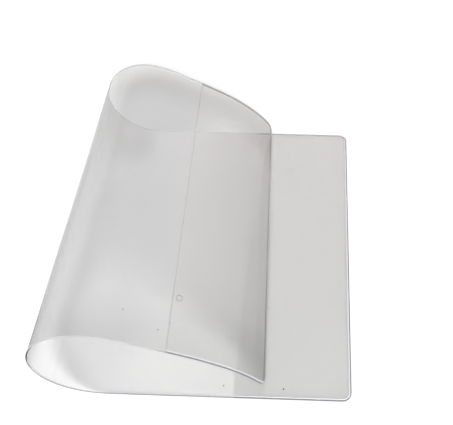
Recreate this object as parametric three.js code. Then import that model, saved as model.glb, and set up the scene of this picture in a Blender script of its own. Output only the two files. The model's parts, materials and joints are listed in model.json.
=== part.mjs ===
// A clear vinyl slip-on cover for a hymnal, lying open with its front half curled over.
// The back half lies flat on the table. The front half rises from it, rolls over to the
// right in a slightly conical curl and comes down on its free edge, over the back pocket.
// Everything is laid out on the flat cut sheet first and then carried round the curl.
//
// Flat sheet: u runs from the right-hand edge to the free edge, y from the near edge to the
// far edge, and h is the height above the outer face. Millimetres, +Z up.
import * as THREE from "three";

// The sheets and their seams.
const coverWidth = 397;
const coverHeight = 240;
const sheetThickness = 0.4;
const cornerRadius = 9;
const pocketWidth = 75;
const seamWidth = 2.6;
const seamShoulder = 0.5;
const seamCrown = 0.8;
const crownFlat = 1;
const layerGap = 0.3;

// The curl's start and length along the sheet's near edge. Along the far edge it starts
// later by the skew, and it is shorter by the taper.
const liftOff = 145;
const liftOffSkew = 7;
const curlLength = 160;
const curlTaper = 4;
const easeIn = 26;
const easeOut = 34;

// The free edge keeps a bend of its own, as vinyl does when it has been stored folded.
const foreBendWidth = 86;
const foreBendTurn = THREE.MathUtils.degToRad(31.2);
const restClearance = 0.3;

// The curl is cut into strips that turn on pivots, so that it can be unrolled.
const pivotCount = 4;
const foldsPerStrip = 10;
const foreFolds = 8;
const cornerSteps = 7;
const stripGap = 0.3;

// Heights of the layers above the outer face.
const pocketBottom = sheetThickness + layerGap;
const pocketTop = pocketBottom + sheetThickness;
const stackTop = Math.max(pocketTop, pocketBottom + seamCrown);

// Distance along the curl at which it has made a share of its whole turn. The curvature
// grows over easeIn, stays level, and fades over easeOut.
function alongCurl(share, length) {
  const level = length - (easeIn + easeOut) / 2;
  const made = share * level;
  if (made < easeIn / 2) return Math.sqrt(2 * easeIn * made);
  if (made > level - easeOut / 2) return length - Math.sqrt(2 * easeOut * (level - made));
  return made + easeIn / 2;
}

// A straight line of the curl across the sheet, by the share of the turn made there.
function curlLine(share) {
  return {
    near: liftOff + alongCurl(share, curlLength),
    far: liftOff + liftOffSkew + alongCurl(share, curlLength - curlTaper),
  };
}

// A line across the sheet, parallel to its ends.
function crossLine(u) {
  return { near: u, far: u };
}

// The same line moved along the sheet.
function shifted(line, distance) {
  return { near: line.near + distance, far: line.far + distance };
}

function lineAt(line, y) {
  return line.near + ((line.far - line.near) * y) / coverHeight;
}

// The folds that make up the curl and the bend at the free edge, each with its turn.
const curlFolds = pivotCount * foldsPerStrip;
const curlShares = Array.from({ length: curlFolds }, (_, k) => (k + 0.5) / curlFolds);
const foreShares = Array.from({ length: foreFolds }, (_, k) => (k + 0.5) / foreFolds);

function foldSheet(curlTurn) {
  const folds = [
    ...curlShares.map((share) => ({ line: curlLine(share), turn: curlTurn / curlFolds })),
    ...foreShares.map((share) => ({
      line: crossLine(coverWidth - foreBendWidth * (1 - Math.sqrt(share))),
      turn: foreBendTurn / foreFolds,
    })),
  ];
  const facets = [new THREE.Matrix4()];
  for (const { line, turn } of folds) {
    const near = new THREE.Vector3(-line.near, 0, 0);
    const axis = new THREE.Vector3(-line.far, coverHeight, 0).sub(near).normalize();
    const fold = new THREE.Matrix4()
      .makeTranslation(near)
      .multiply(new THREE.Matrix4().makeRotationAxis(axis, turn))
      .multiply(new THREE.Matrix4().makeTranslation(near.clone().negate()));
    facets.push(facets.at(-1).clone().multiply(fold));
  }
  return { folds, facets };
}

// A point of the flat sheet, carried to its place. On a fold it takes the mean of the two
// facets that meet there, which mitres the sheet's thickness.
function place(sheet, u, y, h) {
  const onFold = 1e-6;
  const flat = new THREE.Vector3(-u, y, h);
  const before = sheet.folds.filter(({ line }) => lineAt(line, y) < u - onFold).length;
  const after = sheet.folds.filter(({ line }) => lineAt(line, y) < u + onFold).length;
  const first = flat.clone().applyMatrix4(sheet.facets[before]);
  const second = flat.clone().applyMatrix4(sheet.facets[after]);
  return first.add(second).multiplyScalar(0.5);
}

// How far the free edge's lowest point lies above the back pocket, for a turn of the curl.
function clearanceAt(curlTurn) {
  const sheet = foldSheet(curlTurn);
  const ends = [cornerRadius, coverHeight - cornerRadius];
  const lowest = ends.flatMap((y) => [0, stackTop].map((h) => place(sheet, coverWidth, y, h).z));
  return Math.min(...lowest) - stackTop;
}

// The curl turns just far enough for the free edge to come down on the back pocket.
function restingTurn() {
  let low = Math.PI * 0.8;
  let high = Math.PI * 1.6;
  for (let step = 0; step < 50; step++) {
    const middle = (low + high) / 2;
    if (clearanceAt(middle) > restClearance) low = middle;
    else high = middle;
  }
  return (low + high) / 2;
}

export const curlTurn = restingTurn();
const sheet = foldSheet(curlTurn);

// A closed solid through sections that have the same number of corners.
function loft(sections) {
  const corners = sections[0].length;
  const last = (sections.length - 1) * corners;
  const index = [];
  for (let s = 0; s < sections.length - 1; s++)
    for (let i = 0; i < corners; i++) {
      const a = s * corners + i;
      const b = s * corners + ((i + 1) % corners);
      index.push(a, a + corners, b, b, a + corners, b + corners);
    }
  for (let i = 1; i < corners - 1; i++) {
    index.push(0, i, i + 1);
    index.push(last, last + i + 1, last + i);
  }
  const geometry = new THREE.BufferGeometry().setFromPoints(sections.flat());
  geometry.setIndex(index);
  return geometry;
}

// The outline of a sheet with rounded corners: how far it is set back from the near and far
// edges at a distance from its rounded end.
function setBack(fromEnd, radius) {
  const short = Math.max(radius - fromEnd, 0);
  return radius - Math.sqrt(Math.max(radius * radius - short * short, 0));
}

// Distances from a rounded end at which its corners' arcs are cut into steps.
function cornerCuts(radius) {
  return Array.from({ length: cornerSteps + 1 }, (_, k) => {
    const angle = (k / cornerSteps) * (Math.PI / 2);
    return radius * (1 - Math.cos(angle));
  });
}

// A layer of sheet between two heights, through lines given as [u, y] near and far points.
function layer(lines, bottom, top) {
  return loft(
    lines.map(([near, far]) => [
      place(sheet, ...near, bottom),
      place(sheet, ...far, bottom),
      place(sheet, ...far, top),
      place(sheet, ...near, top),
    ]),
  );
}

// The near and far points of a straight line across the sheet.
function acrossSheet(line) {
  return [
    [line.near, 0],
    [line.far, coverHeight],
  ];
}

// The near and far points of a line parallel to a rounded end, inside a margin.
function acrossEnd(u, fromEnd, margin) {
  const radius = Math.max(cornerRadius - margin, 0);
  const back = margin + setBack(fromEnd - margin, radius);
  return [
    [u, back],
    [u, coverHeight - back],
  ];
}

// The fore bend's folds that lie between two distances along the sheet.
function foreFoldsBetween(from, to) {
  const lines = sheet.folds.slice(curlFolds).map(({ line }) => line.near);
  return lines.filter((u) => u > from && u < to);
}

const pivots = Array.from({ length: pivotCount }, (_, k) => (k + 0.5) / pivotCount);

// Straight lines across the sheet for one strip of the curl, from share to share.
function stripLines(from, to) {
  const folds = curlShares.filter((share) => share > from && share < to);
  return folds.map((share) => acrossSheet(curlLine(share)));
}

function rollStrip(k) {
  return layer(
    [
      acrossSheet(shifted(curlLine(pivots[k]), stripGap / 2)),
      ...stripLines(pivots[k], pivots[k + 1]),
      acrossSheet(shifted(curlLine(pivots[k + 1]), -stripGap / 2)),
    ],
    0,
    sheetThickness,
  );
}

function backSheet() {
  return layer(
    [
      ...cornerCuts(cornerRadius).map((u) => acrossEnd(u, u, 0)),
      ...stripLines(0, pivots[0]),
      acrossSheet(shifted(curlLine(pivots[0]), -stripGap / 2)),
    ],
    0,
    sheetThickness,
  );
}

// Lines across the front end from one distance along the sheet, inside a margin.
function frontLines(from, margin) {
  const cuts = cornerCuts(Math.max(cornerRadius - margin, 0)).map((d) => coverWidth - margin - d);
  const all = [...foreFoldsBetween(from, coverWidth - margin), ...cuts, from];
  const sorted = all.sort((a, b) => a - b);
  const spaced = sorted.filter((u, k) => k === 0 || u - sorted[k - 1] > 0.01);
  return spaced.map((u) => acrossEnd(u, coverWidth - u, margin));
}

function frontSheet() {
  return layer(
    [
      acrossSheet(shifted(curlLine(pivots.at(-1)), stripGap / 2)),
      ...stripLines(pivots.at(-1), 1),
      ...frontLines(coverWidth - foreBendWidth, 0),
    ],
    0,
    sheetThickness,
  );
}

// The pocket flaps stop short of the seam that welds them to the cover on three sides.
const flapMargin = seamWidth + layerGap;

function backFlap() {
  const cuts = cornerCuts(Math.max(cornerRadius - flapMargin, 0)).map((d) => flapMargin + d);
  return layer(
    [...cuts, pocketWidth].map((u) => acrossEnd(u, u, flapMargin)),
    pocketBottom,
    pocketTop,
  );
}

function frontFlap() {
  return layer(frontLines(coverWidth - pocketWidth, flapMargin), pocketBottom, pocketTop);
}

// The seam's path round a rounded end, as pairs of an outer and an inner point: distance
// from the end, and distance from the near edge.
function seamPath(armCuts) {
  const arm = armCuts.map((d) => [
    [d, 0],
    [d, seamWidth],
  ]);
  const inner = Math.max(cornerRadius - seamWidth, 0);
  const corner = Array.from({ length: cornerSteps + 1 }, (_, k) => {
    const angle = (k / cornerSteps) * (Math.PI / 2);
    return [cornerRadius, inner].map((r) => [
      cornerRadius - r * Math.sin(angle),
      cornerRadius - r * Math.cos(angle),
    ]);
  });
  const near = [...arm, ...corner];
  const far = near.map((pair) => pair.map(([d, y]) => [d, coverHeight - y])).reverse();
  return [...near, ...far];
}

// The welded seam: a low bead with a flat crown between sloping shoulders.
function seam(path) {
  const slope = (1 - crownFlat / seamWidth) / 2;
  return loft(
    path.map(([outer, inner]) => {
      const at = (share, h) => {
        const u = outer[0] + (inner[0] - outer[0]) * share;
        const y = outer[1] + (inner[1] - outer[1]) * share;
        return place(sheet, u, y, pocketBottom + h);
      };
      return [
        at(0, 0),
        at(1, 0),
        at(1, seamShoulder),
        at(1 - slope, seamCrown),
        at(slope, seamCrown),
        at(0, seamShoulder),
      ];
    }),
  );
}

function backSeam() {
  return seam(seamPath([pocketWidth]).reverse());
}

function frontSeam() {
  const arm = foreFoldsBetween(coverWidth - pocketWidth, coverWidth - cornerRadius);
  const cuts = [coverWidth - pocketWidth, ...arm].map((u) => coverWidth - u);
  const path = seamPath(cuts);
  return seam(path.map((pair) => pair.map(([d, y]) => [coverWidth - d, y])));
}

const clearVinyl = { color: 0xdfe1e3, roughness: 0.12, metalness: 0 };
const weldedVinyl = { color: 0xf0f1f4, roughness: 0.2, metalness: 0 };

const pieces = {
  cover_back: [backSheet(), clearVinyl],
  back_pocket: [backFlap(), clearVinyl],
  back_seam: [backSeam(), weldedVinyl],
  cover_front: [frontSheet(), clearVinyl],
  front_pocket: [frontFlap(), clearVinyl],
  front_seam: [frontSeam(), weldedVinyl],
};
for (let k = 0; k < pivotCount - 1; k++)
  pieces[`cover_roll_${k + 1}`] = [rollStrip(k), clearVinyl];

const group = new THREE.Group();
for (const [name, [geometry, finish]] of Object.entries(pieces)) {
  const mesh = new THREE.Mesh(geometry, new THREE.MeshStandardMaterial(finish));
  mesh.name = name;
  group.add(mesh);
}

// The origin is under the middle of the whole part, on the table.
const middle = new THREE.Box3().setFromObject(group).getCenter(new THREE.Vector3());
for (const mesh of group.children) mesh.geometry.translate(-middle.x, -middle.y, 0);

// The pivots' near and far ends, halfway through the sheet, for the joints.
export const pivotLines = pivots.map((share) => {
  const line = curlLine(share);
  const ends = acrossSheet(line).map(([u, y]) => place(sheet, u, y, sheetThickness / 2));
  return ends.map((p) => [p.x - middle.x, p.y - middle.y, p.z]);
});

export default group;
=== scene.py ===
# %% [markdown]
# A clear vinyl cover for a hymnal, lying open with its front half curled over.
# The real cover is one sheet of clear vinyl with a narrow pocket flap welded on at each
# end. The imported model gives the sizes, the joints and the place of every piece. This
# lesson makes the looks round it, in metres and in the same frame.

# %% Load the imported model
import json
import math

import bpy
import numpy as np
from mathutils import Matrix, Vector

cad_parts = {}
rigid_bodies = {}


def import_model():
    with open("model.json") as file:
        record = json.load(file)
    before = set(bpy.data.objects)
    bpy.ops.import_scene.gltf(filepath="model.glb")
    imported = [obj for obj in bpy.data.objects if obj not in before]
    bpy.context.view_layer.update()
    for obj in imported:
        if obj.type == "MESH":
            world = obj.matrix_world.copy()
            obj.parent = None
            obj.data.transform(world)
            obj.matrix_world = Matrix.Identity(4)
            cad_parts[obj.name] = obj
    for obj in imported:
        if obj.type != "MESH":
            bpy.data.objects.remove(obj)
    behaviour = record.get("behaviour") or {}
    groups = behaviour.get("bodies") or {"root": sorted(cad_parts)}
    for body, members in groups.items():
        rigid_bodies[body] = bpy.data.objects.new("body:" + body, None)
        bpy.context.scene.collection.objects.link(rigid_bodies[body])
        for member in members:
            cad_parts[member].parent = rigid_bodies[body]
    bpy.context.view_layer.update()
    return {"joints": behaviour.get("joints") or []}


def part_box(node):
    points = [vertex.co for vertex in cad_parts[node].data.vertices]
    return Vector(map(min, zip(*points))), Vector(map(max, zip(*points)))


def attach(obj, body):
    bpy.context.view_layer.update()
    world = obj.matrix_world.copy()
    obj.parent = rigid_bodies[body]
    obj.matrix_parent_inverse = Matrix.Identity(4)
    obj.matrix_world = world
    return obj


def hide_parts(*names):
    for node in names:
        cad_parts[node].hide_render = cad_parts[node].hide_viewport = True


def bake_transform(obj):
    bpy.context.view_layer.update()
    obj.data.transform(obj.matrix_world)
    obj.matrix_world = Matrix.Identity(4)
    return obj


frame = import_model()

# %% [markdown]
# The sizes of the cut sheets. A piece of vinyl is measured before it is bent, so every
# size is taken on the flat sheet: u runs from the right-hand edge to the free edge, y from
# the near edge to the far edge, and h is the height above the outer face. The model's
# corners are a little rounder than the real ones, so the picture has its own radius.

# %% Sizes of the cut sheets
MM = 0.001
cover_width = 397 * MM
cover_height = 240 * MM
sheet_thickness = 0.4 * MM
corner_radius = 6 * MM
pocket_width = 75 * MM

sheet_low, sheet_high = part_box("cover_back")
sheet_corner = Vector((sheet_high.x, sheet_low.y, 0))
print("the flat sheet's near right corner in mm:", [round(place / MM, 1) for place in sheet_corner])

# %% [markdown]
# The sizes of the curl. It lifts off along a line across the sheet that lies a little
# askew, bends over its length and eases in and out. Near the free edge the sheet has a
# second, gentler bend. The turn of the whole curl is what the joints can unroll, so it
# comes from the frame and can't drift away from the motion.

# %% Sizes of the curl
lift_off = 145 * MM
lift_off_skew = 7 * MM
curl_length = 160 * MM
curl_taper = 4 * MM
ease_in = 26 * MM
ease_out = 34 * MM
curl_turn = math.radians(sum(joint["range_deg"][1] for joint in frame["joints"]))
fore_bend_width = 86 * MM
fore_bend_turn = math.radians(31.2)
curl_folds = 40
fore_folds = 8
print("the curl turns", round(math.degrees(curl_turn), 2), "degrees in all")

# %% [markdown]
# Small helpers for node trees. Both the geometry and the materials are built from nodes
# in code, so a link or a plain value goes into a socket with one call.

# %% Helpers for node trees
FLOAT = "NodeSocketFloat"
COUNT = "NodeSocketInt"
VECTOR = "NodeSocketVector"
SHAPE = "NodeSocketGeometry"
FINISH = "NodeSocketMaterial"


def wire(tree, value, socket):
    if isinstance(value, bpy.types.NodeSocket):
        tree.links.new(value, socket)
    else:
        socket.default_value = value


def add_node(tree, kind, inputs=None, **settings):
    node = tree.nodes.new(kind)
    for name, value in settings.items():
        setattr(node, name, value)
    for name, value in (inputs or {}).items():
        wire(tree, value, node.inputs[name])
    return node


def calc(tree, operation, *values):
    node = tree.nodes.new("ShaderNodeMath")
    node.operation = operation
    for value, socket in zip(values, node.inputs):
        wire(tree, value, socket)
    return node.outputs["Value"]


def choose(tree, factor, first, second):
    """first where the factor is 0, second where it is 1."""
    node = tree.nodes.new("ShaderNodeMix")
    sockets = (node.inputs[0], node.inputs[2], node.inputs[3])
    for value, socket in zip((factor, first, second), sockets):
        wire(tree, value, socket)
    return node.outputs[0]


def point(tree, x, y, z):
    return add_node(tree, "ShaderNodeCombineXYZ", {"X": x, "Y": y, "Z": z}).outputs["Vector"]


# %% Helpers for node groups
def new_group(name, kind, inputs, outputs):
    tree = bpy.data.node_groups.new(name, kind)
    for label, socket_kind in inputs:
        tree.interface.new_socket(name=label, in_out="INPUT", socket_type=socket_kind)
    for label, socket_kind in outputs:
        tree.interface.new_socket(name=label, in_out="OUTPUT", socket_type=socket_kind)
    given = tree.nodes.new("NodeGroupInput").outputs
    made = tree.nodes.new("NodeGroupOutput").inputs
    return tree, given, made


def use_group(tree, group, inputs):
    """Place a group in a tree of its own kind, and give back its one output."""
    node = tree.nodes.new(tree.bl_idname.replace("Tree", "Group"))
    node.node_tree = group
    for name, value in inputs.items():
        wire(tree, value, node.inputs[name])
    return node.outputs[0]


# %% [markdown]
# The curl. Vinyl bends but doesn't stretch, so the curl is a developable surface: it could
# be lofted between two drawn curves, or bent with a Simple Deform, but neither keeps the
# length of the sheet or lets the curl be a little conical. Here the flat sheet is folded
# about straight lines across it, one after another, as the CAD model is. Each fold is
# spread over the strip up to the next one, so that the sheet comes out smooth. A Repeat
# Zone does the folding, from the last fold to the first, so that every line is still
# where it lies on the flat sheet when its turn comes.


# %% How far along the curl a share of its turn is made
def build_distance_group():
    """The curvature grows over the ease in, stays level, and fades over the ease out."""
    tree, given, made = new_group(
        "distance along the curl",
        "GeometryNodeTree",
        [("Share", FLOAT), ("Length", FLOAT), ("Ease In", FLOAT), ("Ease Out", FLOAT)],
        [("Distance", FLOAT)],
    )

    def eased(half_ease, bent):
        """While the curvature grows evenly, the distance is the root of what is bent."""
        double_ease = calc(tree, "MULTIPLY", half_ease, 4.0)
        return calc(tree, "SQRT", calc(tree, "MULTIPLY", double_ease, bent))

    half_in = calc(tree, "MULTIPLY", given["Ease In"], 0.5)
    half_out = calc(tree, "MULTIPLY", given["Ease Out"], 0.5)
    level = calc(tree, "SUBTRACT", calc(tree, "SUBTRACT", given["Length"], half_in), half_out)
    bent = calc(tree, "MULTIPLY", given["Share"], level)
    left = calc(tree, "SUBTRACT", level, bent)
    growing = eased(half_in, bent)
    steady = calc(tree, "ADD", bent, half_in)
    fading = calc(tree, "SUBTRACT", given["Length"], eased(half_out, left))
    start = choose(tree, calc(tree, "LESS_THAN", bent, half_in), steady, growing)
    distance = choose(tree, calc(tree, "LESS_THAN", left, half_out), start, fading)
    wire(tree, distance, made["Distance"])
    return tree


distance_group = build_distance_group()
print("built", distance_group.name, "with", len(distance_group.nodes), "nodes")


# %% One zone that folds the sheet about a row of lines
def stored(tree, label):
    return add_node(tree, "GeometryNodeInputNamedAttribute", {"Name": label}).outputs["Attribute"]


def fold_zone(tree, geometry, folds, turn, height, line_at):
    """line_at(share) gives the near and far ends of the line at a share of the turn."""
    zone_in = tree.nodes.new("GeometryNodeRepeatInput")
    zone_out = tree.nodes.new("GeometryNodeRepeatOutput")
    zone_in.pair_with_output(zone_out)
    wire(tree, folds, zone_in.inputs["Iterations"])
    wire(tree, geometry, zone_in.inputs["Geometry"])

    after = calc(tree, "SUBTRACT", folds, zone_in.outputs["Iteration"])
    middle = calc(tree, "SUBTRACT", after, 0.5)
    before = calc(tree, "SUBTRACT", after, 1.0)
    near_end, far_end = line_at(calc(tree, "DIVIDE", after, folds))
    near_middle, far_middle = line_at(calc(tree, "DIVIDE", middle, folds))
    near_start, far_start = line_at(calc(tree, "DIVIDE", before, folds))

    share_across = calc(tree, "DIVIDE", stored(tree, "flat_y"), height)
    start = choose(tree, share_across, near_start, far_start)
    end = choose(tree, share_across, near_end, far_end)
    limits = {"Value": stored(tree, "flat_u"), "From Min": start, "From Max": end}
    passed = add_node(tree, "ShaderNodeMapRange", limits).outputs["Result"]

    near_pivot = choose(tree, passed, near_start, near_middle)
    far_pivot = choose(tree, passed, far_start, far_middle)
    turning = {
        "Vector": tree.nodes.new("GeometryNodeInputPosition").outputs["Position"],
        "Center": point(tree, calc(tree, "MULTIPLY", near_pivot, -1.0), 0.0, 0.0),
        "Axis": point(tree, calc(tree, "SUBTRACT", near_pivot, far_pivot), height, 0.0),
        "Angle": calc(tree, "MULTIPLY", passed, calc(tree, "DIVIDE", turn, folds)),
    }
    turned = add_node(tree, "ShaderNodeVectorRotate", turning).outputs["Vector"]
    moving = {"Geometry": zone_in.outputs["Geometry"], "Position": turned}
    moved = add_node(tree, "GeometryNodeSetPosition", moving).outputs["Geometry"]
    wire(tree, moved, zone_out.inputs["Geometry"])
    return zone_out.outputs["Geometry"]


# %% The whole tree: the bend at the free edge, then the curl, then the sheet's place
curl_inputs = [
    ("Geometry", SHAPE),
    ("Sheet Width", FLOAT),
    ("Sheet Height", FLOAT),
    ("Lift Off", FLOAT),
    ("Lift Off Skew", FLOAT),
    ("Curl Length", FLOAT),
    ("Curl Taper", FLOAT),
    ("Ease In", FLOAT),
    ("Ease Out", FLOAT),
    ("Curl Turn", FLOAT),
    ("Curl Folds", COUNT),
    ("Fore Bend Width", FLOAT),
    ("Fore Bend Turn", FLOAT),
    ("Fore Folds", COUNT),
    ("Corner", VECTOR),
    ("Material", FINISH),
]


def build_curl_tree():
    tree, given, made = new_group(
        "curl the sheet", "GeometryNodeTree", curl_inputs, [("Geometry", SHAPE)]
    )

    def fore_line_at(share):
        short = calc(tree, "SUBTRACT", 1.0, calc(tree, "SQRT", share))
        left = calc(tree, "MULTIPLY", given["Fore Bend Width"], short)
        along = calc(tree, "SUBTRACT", given["Sheet Width"], left)
        return along, along

    def line_end(share, start, length):
        eases = {"Ease In": given["Ease In"], "Ease Out": given["Ease Out"]}
        distance = use_group(tree, distance_group, {"Share": share, "Length": length, **eases})
        return calc(tree, "ADD", start, distance)

    def curl_line_at(share):
        far_start = calc(tree, "ADD", given["Lift Off"], given["Lift Off Skew"])
        far_length = calc(tree, "SUBTRACT", given["Curl Length"], given["Curl Taper"])
        near = line_end(share, given["Lift Off"], given["Curl Length"])
        return near, line_end(share, far_start, far_length)

    height = given["Sheet Height"]
    bent = fold_zone(
        tree, given["Geometry"], given["Fore Folds"], given["Fore Bend Turn"], height, fore_line_at
    )
    curled = fold_zone(tree, bent, given["Curl Folds"], given["Curl Turn"], height, curl_line_at)
    placing = {"Geometry": curled, "Offset": given["Corner"]}
    placed = add_node(tree, "GeometryNodeSetPosition", placing).outputs["Geometry"]
    real = add_node(tree, "GeometryNodeRealizeInstances", {"Geometry": placed}).outputs["Geometry"]
    dressing = {"Geometry": real, "Material": given["Material"]}
    dressed = add_node(tree, "GeometryNodeSetMaterial", dressing).outputs["Geometry"]
    wire(tree, dressed, made["Geometry"])
    return tree


curl_tree = build_curl_tree()
print("built", curl_tree.name, "with", len(curl_tree.nodes), "nodes")

# %% [markdown]
# The faults that make vinyl look like vinyl: a slow ripple left by the calender, a faint
# cloudiness, dust that clings to it, and a melted rim along the cut. An image could carry
# them, but nodes stay sharp at any distance. Each is a small shader group that reads the
# flat sheet's own map, so that the pattern follows the sheet round the curl and from piece
# to piece. The groups put out only masks and heights, and the shader stays in the material.

# %% The sheet's own map, and noise on it
swell_scale = 16.0
swell_detail = 1.0
swell_stretch = (1.0, 0.35, 1.0)
fine_scale = 150.0
fine_detail = 2.0
cloud_scale = 9.0
cloud_detail = 3.0
cloud_limits = (0.3, 0.7)
noise_roughness = 0.5


def flat_map(tree):
    """The place on the flat sheet: the whole vector, the way along and the way away."""
    vector = add_node(tree, "ShaderNodeUVMap", uv_map="flat").outputs["UV"]
    parts = add_node(tree, "ShaderNodeSeparateXYZ", {"Vector": vector}).outputs
    return vector, parts["X"], parts["Y"]


def noise(tree, vector, scale, detail):
    inputs = {"Vector": vector, "Scale": scale, "Detail": detail, "Roughness": noise_roughness}
    return add_node(tree, "ShaderNodeTexNoise", inputs).outputs["Fac"]


# %% The ripple and the clouds
def build_ripple_group():
    """Slow swells across the sheet, and much finer ones all over it from the rollers."""
    tree, given, made = new_group(
        "calender ripple",
        "ShaderNodeTree",
        [("Vector", VECTOR), ("Swell", FLOAT), ("Fine", FLOAT)],
        [("Height", FLOAT)],
    )
    stretching = {0: given["Vector"], 1: swell_stretch}
    stretched = add_node(tree, "ShaderNodeVectorMath", stretching, operation="MULTIPLY")
    swells = noise(tree, stretched.outputs["Vector"], swell_scale, swell_detail)
    grain = noise(tree, given["Vector"], fine_scale, fine_detail)
    slow = calc(tree, "MULTIPLY", swells, given["Swell"])
    fast = calc(tree, "MULTIPLY", grain, given["Fine"])
    wire(tree, calc(tree, "ADD", slow, fast), made["Height"])
    return tree


def build_cloud_group():
    """A faint unevenness of the clear vinyl, from 0 to 1."""
    tree, given, made = new_group(
        "vinyl clouds", "ShaderNodeTree", [("Vector", VECTOR)], [("Cloud", FLOAT)]
    )
    low, high = cloud_limits
    broad = noise(tree, given["Vector"], cloud_scale, cloud_detail)
    limits = {"Value": broad, "From Min": low, "From Max": high}
    wire(tree, add_node(tree, "ShaderNodeMapRange", limits).outputs["Result"], made["Cloud"])
    return tree


ripple_group = build_ripple_group()
cloud_group = build_cloud_group()
print("built", ripple_group.name, "and", cloud_group.name)


# %% The dust and single specks
def build_dust_group():
    """Scattered grains of dust: a mask that is 1 on a grain."""
    tree, given, made = new_group(
        "clinging dust",
        "ShaderNodeTree",
        [("Vector", VECTOR), ("Spacing", FLOAT), ("Grain", FLOAT), ("Share", FLOAT)],
        [("Mask", FLOAT)],
    )
    scatter = {"Vector": given["Vector"], "Scale": calc(tree, "DIVIDE", 1.0, given["Spacing"])}
    cells = add_node(
        tree, "ShaderNodeTexVoronoi", scatter, feature="F1", voronoi_dimensions="2D"
    ).outputs
    reach = calc(tree, "DIVIDE", given["Grain"], given["Spacing"])
    near = calc(tree, "LESS_THAN", cells["Distance"], reach)
    pick = add_node(tree, "ShaderNodeSeparateColor", {"Color": cells["Color"]}).outputs["Red"]
    picked = calc(tree, "LESS_THAN", pick, given["Share"])
    wire(tree, calc(tree, "MULTIPLY", near, picked), made["Mask"])
    return tree


def build_speck_group():
    """One speck at a place on the flat sheet: a mask that is 1 on it."""
    tree, given, made = new_group(
        "speck",
        "ShaderNodeTree",
        [("Vector", VECTOR), ("Place", VECTOR), ("Reach", FLOAT)],
        [("Mask", FLOAT)],
    )
    ends = {0: given["Vector"], 1: given["Place"]}
    apart = add_node(tree, "ShaderNodeVectorMath", ends, operation="DISTANCE").outputs["Value"]
    wire(tree, calc(tree, "LESS_THAN", apart, given["Reach"]), made["Mask"])
    return tree


dust_group = build_dust_group()
speck_group = build_speck_group()
print("built", dust_group.name, "and", speck_group.name)


# %% The melted rim
rim_inputs = [
    ("Vector", VECTOR),
    ("Sheet Width", FLOAT),
    ("Sheet Height", FLOAT),
    ("Corner Radius", FLOAT),
    ("Mouth", FLOAT),
    ("Rim Width", FLOAT),
    ("Mouth Width", FLOAT),
]


def ramp(tree, value, start, end):
    """0 at the start and 1 at the end, which may come before the start."""
    limits = {"Value": value, "From Min": start, "From Max": end}
    node = add_node(tree, "ShaderNodeMapRange", limits, interpolation_type="SMOOTHSTEP")
    return node.outputs["Result"]


def build_rim_group():
    """The melted rim along the outline and along a pocket's mouth: 1 on it, 0 inside."""
    tree, given, made = new_group("melted rim", "ShaderNodeTree", rim_inputs, [("Mask", FLOAT)])
    flat = add_node(tree, "ShaderNodeSeparateXYZ", {"Vector": given["Vector"]}).outputs
    radius = given["Corner Radius"]
    over = []
    for along, size in ((flat["X"], given["Sheet Width"]), (flat["Y"], given["Sheet Height"])):
        half = calc(tree, "MULTIPLY", size, 0.5)
        from_middle = calc(tree, "ABSOLUTE", calc(tree, "SUBTRACT", along, half))
        over.append(calc(tree, "SUBTRACT", from_middle, calc(tree, "SUBTRACT", half, radius)))
    squares = [calc(tree, "POWER", calc(tree, "MAXIMUM", side, 0.0), 2.0) for side in over]
    corner = calc(tree, "SQRT", calc(tree, "ADD", *squares))
    side = calc(tree, "MINIMUM", calc(tree, "MAXIMUM", *over), 0.0)
    from_edge = calc(tree, "SUBTRACT", calc(tree, "SUBTRACT", radius, corner), side)
    from_mouth = calc(tree, "ABSOLUTE", calc(tree, "SUBTRACT", flat["X"], given["Mouth"]))
    over_edge = calc(tree, "DIVIDE", from_edge, given["Rim Width"])
    over_mouth = calc(tree, "DIVIDE", from_mouth, given["Mouth Width"])
    nearest = calc(tree, "MINIMUM", over_edge, over_mouth)
    wire(tree, ramp(tree, nearest, 1.0, 0.5), made["Mask"])
    return tree


rim_group = build_rim_group()
print("built", rim_group.name, "with", len(rim_group.nodes), "nodes")

# %% [markdown]
# The clear vinyl. A see-through shader would be quick, but it would neither mirror nor bend
# anything. So to the renderer the vinyl is glass: full transmission, a refractive index,
# and a tint on every face that a ray crosses. The sheets are closed plates, so two layers
# darken what lies under them twice, as they do in the hand. Real vinyl has an index of
# 1.53, but its layers cling together, while here each ray meets up to sixteen clean faces,
# which would mirror and bend far too much. A lower index gives the look of the real stack.
# The constants go straight on the shader's sockets, and only the colour, the roughness
# and the bump come from nodes.

# %% Helpers for the finishes
vinyl_ior = 1.25
cling_ior = 1.12
white = (1, 1, 1, 1)


def new_finish(name):
    material = bpy.data.materials.new(name)
    material.use_nodes = True
    tree = material.node_tree
    return material, tree, tree.nodes["Principled BSDF"]


def colour_mix(tree, factor, first, second):
    node = add_node(tree, "ShaderNodeMix", data_type="RGBA")
    sockets = (node.inputs[0], node.inputs[6], node.inputs[7])
    for value, socket in zip((factor, first, second), sockets):
        wire(tree, value, socket)
    return node.outputs[2]


def patch(tree, along, along_zone, away, away_zone):
    """A patch of the sheet: 1 past the ends of both zones, 0 before their starts."""
    return calc(tree, "MULTIPLY", ramp(tree, along, *along_zone), ramp(tree, away, *away_zone))


# %% The tint and the polish of a flat sheet
near_tint = (0.991, 0.991, 0.987, 1)
far_tint = (0.995, 0.985, 0.979, 1)
haze_colour = (0.9, 0.9, 0.9, 1)
sheet_haze = 0.1
sheet_polish = 0.02
cloud_roughness = 0.02
frosted_rim = 0.4


def sheet_tint(tree, away, cloud, haze):
    """A little warmer towards the far edge, and a little duller in the clouds."""
    colour = colour_mix(tree, calc(tree, "DIVIDE", away, cover_height), near_tint, far_tint)
    return colour_mix(tree, calc(tree, "MULTIPLY", cloud, haze), colour, haze_colour)


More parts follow.
